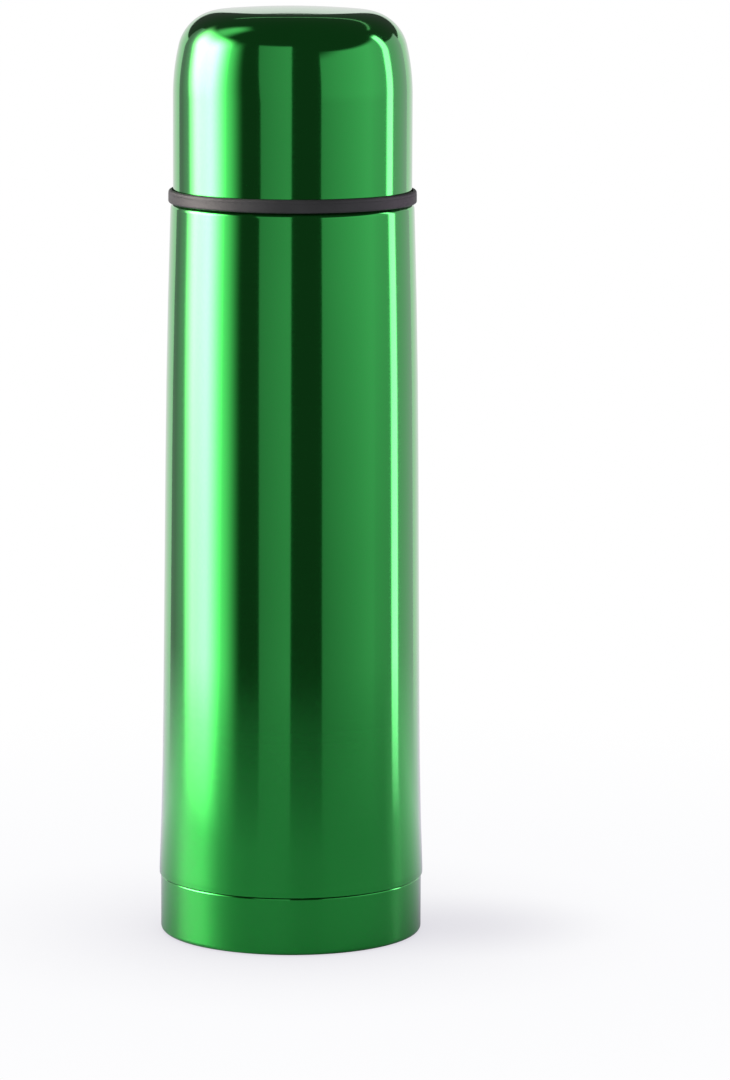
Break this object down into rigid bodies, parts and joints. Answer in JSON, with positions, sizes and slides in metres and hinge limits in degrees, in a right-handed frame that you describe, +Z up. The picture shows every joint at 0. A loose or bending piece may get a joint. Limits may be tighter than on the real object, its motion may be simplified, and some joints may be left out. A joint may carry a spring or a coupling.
{
  "type": "vacuum flask",
  "caption": "Slim steel vacuum flask with a domed screw-on cup over a push-button stopper, a dark collar ring and an inset base cup.",
  "frame": {"origin": "centre of the standing ring under the base cup, on the surface that the flask stands on", "axes": "+Z up along the axis of the flask, the stopper's release catch towards -Y"},
  "size_m": [0.07, 0.07, 0.2449],
  "materials": {
    "green_lacquer": "glossy transparent lacquer over polished steel",
    "bottle_steel": "electropolished, satin",
    "plate_steel": "plain mill finish",
    "copper_foil": "bright foil",
    "solder_glass": "glassy grey bead",
    "getter_grey": "sintered, dull",
    "collar_plastic": "finely grained",
    "liner_plastic": "satin",
    "stopper_plastic": "satin",
    "button_plastic": "satin gloss",
    "cage_plastic": "satin",
    "foam": "rigid closed-cell foam",
    "silicone": "soft, translucent white",
    "spring_steel": "drawn wire",
    "stem_steel": "turned rod"
  },
  "bodies": {
    "flask": {"outer_shell": "green_lacquer", "inner_bottle": "bottle_steel", "heat_shield": "copper_foil", "vacuum_base": "plate_steel", "seal_plug": "solder_glass", "getter": "getter_grey", "getter_clip": "plate_steel", "base_cup": "green_lacquer", "neck_collar": "collar_plastic"},
    "neck_ring": {"stopper_gasket": "silicone"},
    "stopper": {"stopper_core": "stopper_plastic", "stopper_grip": "stopper_plastic", "stopper_foam": "foam", "stopper_housing": "cage_plastic", "stem_seal": "silicone", "button_spring": "spring_steel", "latch_spring": "spring_steel"},
    "button": {"push_button": "button_plastic", "valve_stem": "stem_steel", "valve_seal": "silicone", "valve_retainer": "cage_plastic"},
    "catch": {"release_latch": "button_plastic"},
    "cup_ring": {"cup_seal": "silicone"},
    "cup": {"cup_shell": "green_lacquer", "cup_liner": "liner_plastic"}
  },
  "joints": [
    {"name": "stopper_lift", "type": "slide", "parent": "flask", "child": "neck_ring", "axis": [0, 0, 1], "range_m": [0, 0.036]},
    {"name": "stopper_turn", "type": "hinge", "parent": "neck_ring", "child": "stopper", "pos_m": [0, 0, 0.2], "axis": [0, 0, 1], "range_deg": [0, 1080]},
    {"name": "cup_lift", "type": "slide", "parent": "stopper", "child": "cup_ring", "axis": [0, 0, 1], "range_m": [0, 0.039]},
    {"name": "cup_turn", "type": "hinge", "parent": "cup_ring", "child": "cup", "pos_m": [0, 0, 0.2], "axis": [0, 0, 1], "range_deg": [0, 1170]},
    {"name": "button_press", "type": "slide", "parent": "stopper", "child": "button", "axis": [0, 0, -1], "range_m": [0, 0.004], "stiffness_N_per_m": 600, "springref_m": -0.002, "deforming": ["button_spring"]},
    {"name": "catch_push", "type": "slide", "parent": "stopper", "child": "catch", "axis": [0, 1, 0], "range_m": [0, 0.0016], "stiffness_N_per_m": 300, "springref_m": -0.001, "deforming": ["latch_spring"]}
  ],
  "couplings": [
    {"joint": "stopper_turn", "follows": "stopper_lift", "rad_per_m": 523.6},
    {"joint": "cup_turn", "follows": "cup_lift", "rad_per_m": 523.6}
  ]
}
